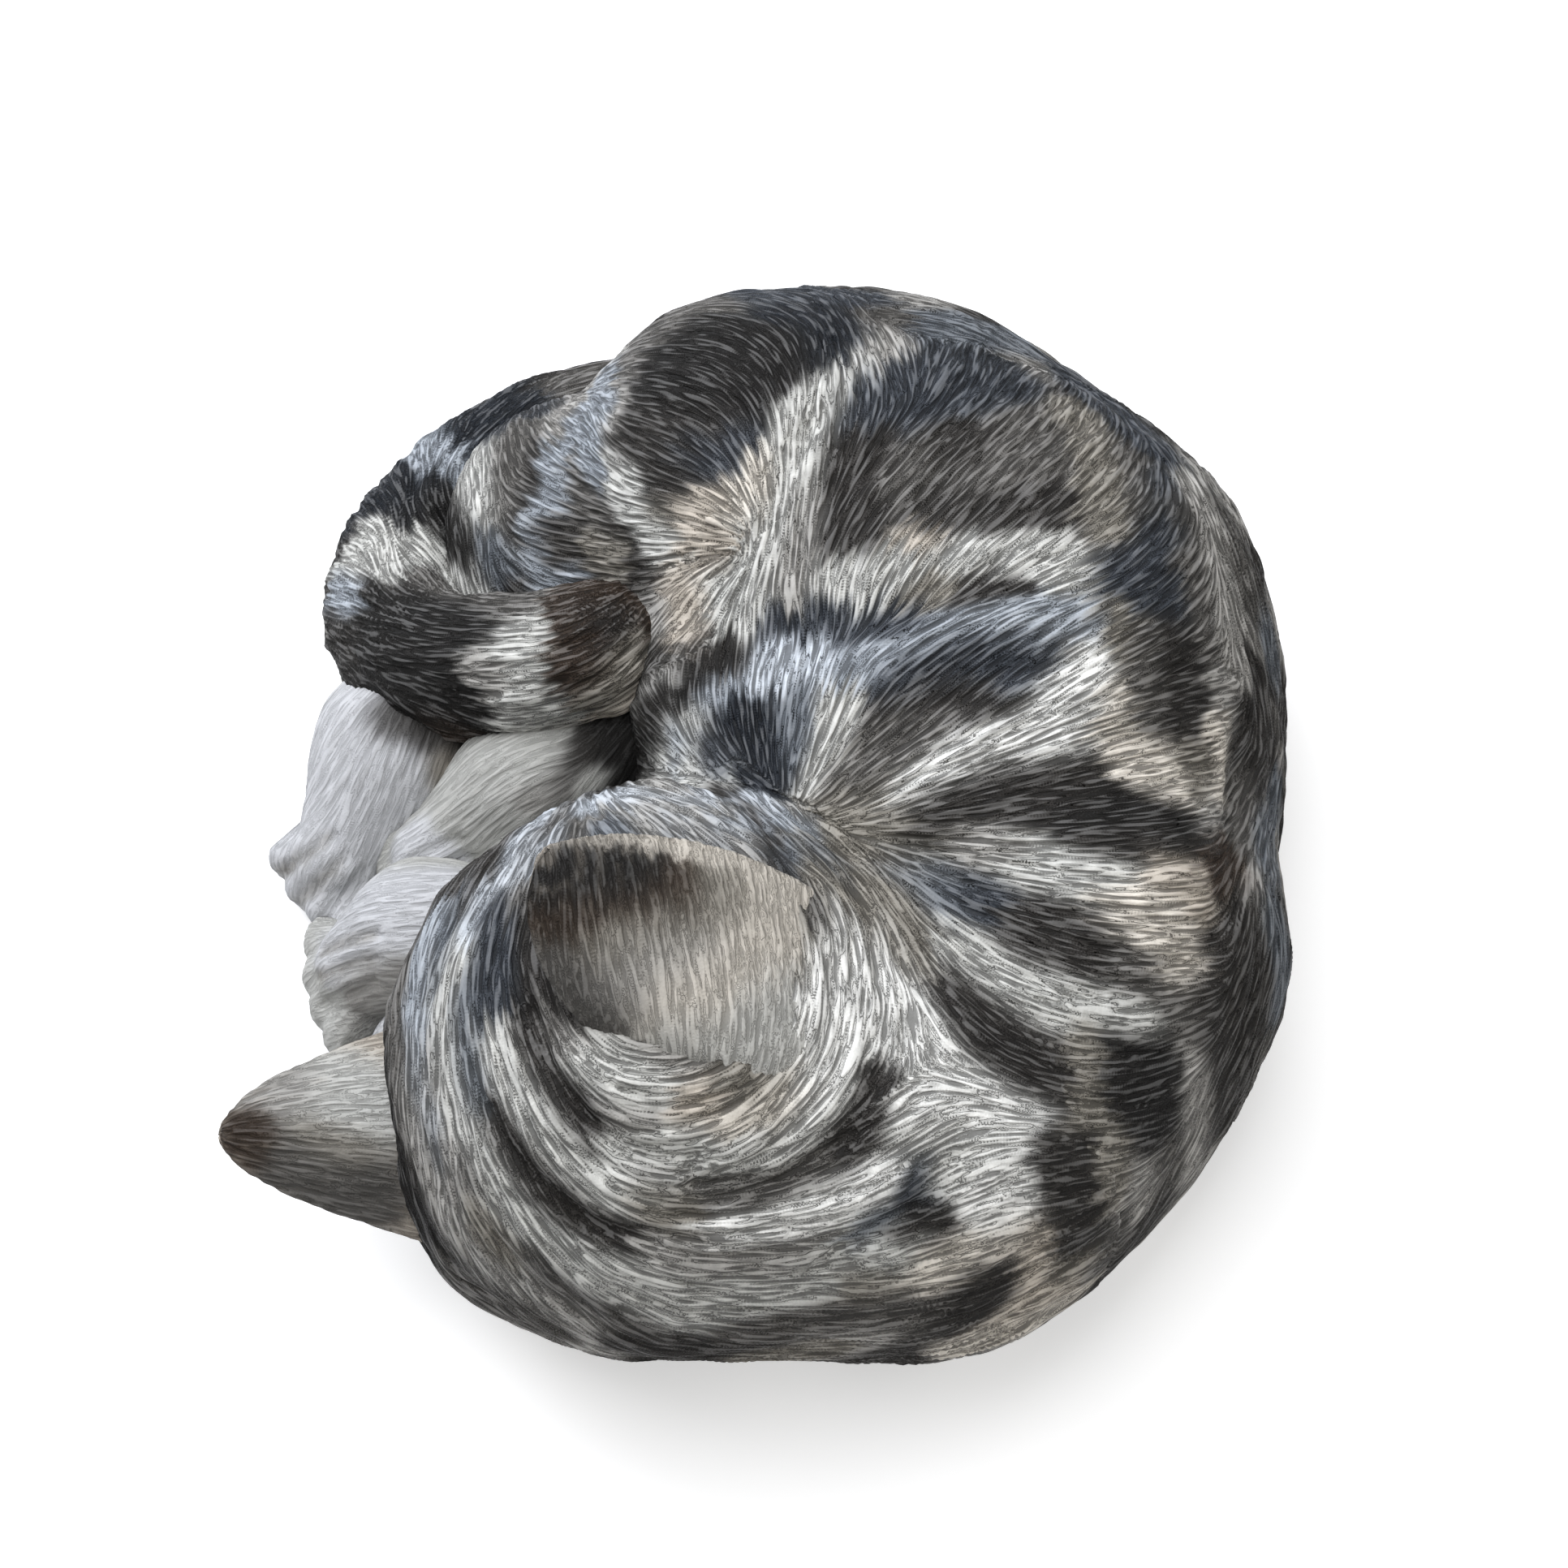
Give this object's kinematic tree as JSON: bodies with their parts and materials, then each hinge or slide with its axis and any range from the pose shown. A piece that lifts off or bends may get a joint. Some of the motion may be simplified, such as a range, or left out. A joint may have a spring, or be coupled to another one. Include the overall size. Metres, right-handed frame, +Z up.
{
  "type": "sleeping cat figurine",
  "caption": "Life-like sleeping cat, curled with its head resting on its side: glued resin castings with carved fur, closed by a plate and felt underneath.",
  "frame": {"origin": "on the floor, on the felt's under face, under the middle of the curled body", "axes": "+Z up; the sleeping face looks along +Y and the back of the curl is at +X; the head is at low X and low Y"},
  "size_m": [0.2282, 0.2551, 0.1186],
  "materials": {
    "tabby_paint": "cast resin with carved fur, painted in silver tabby stripes, dry-brushed, dull varnish",
    "ear_paint": "cast resin with short carved fur, painted beige to black-brown",
    "tail_paint": "cast resin with carved fur, painted in dark and pale rings",
    "paw_paint": "cast resin with fine carved fur, painted pale grey",
    "bare_resin": "unpainted cast resin",
    "felt": "pressed wool felt",
    "dowel_steel": "plain drawn rod"
  },
  "bodies": {
    "root": {"body_casting": "tabby_paint", "head_casting": "tabby_paint", "ear_upper": "ear_paint", "ear_lower": "ear_paint", "tail": "tail_paint", "hind_foot_outer": "paw_paint", "hind_foot_inner": "paw_paint", "front_paw_outer": "paw_paint", "front_paw_inner": "paw_paint", "base_plate": "bare_resin", "felt_sheet": "felt", "head_dowel_front": "dowel_steel", "head_dowel_rear": "dowel_steel"}
  },
  "joints": []
}
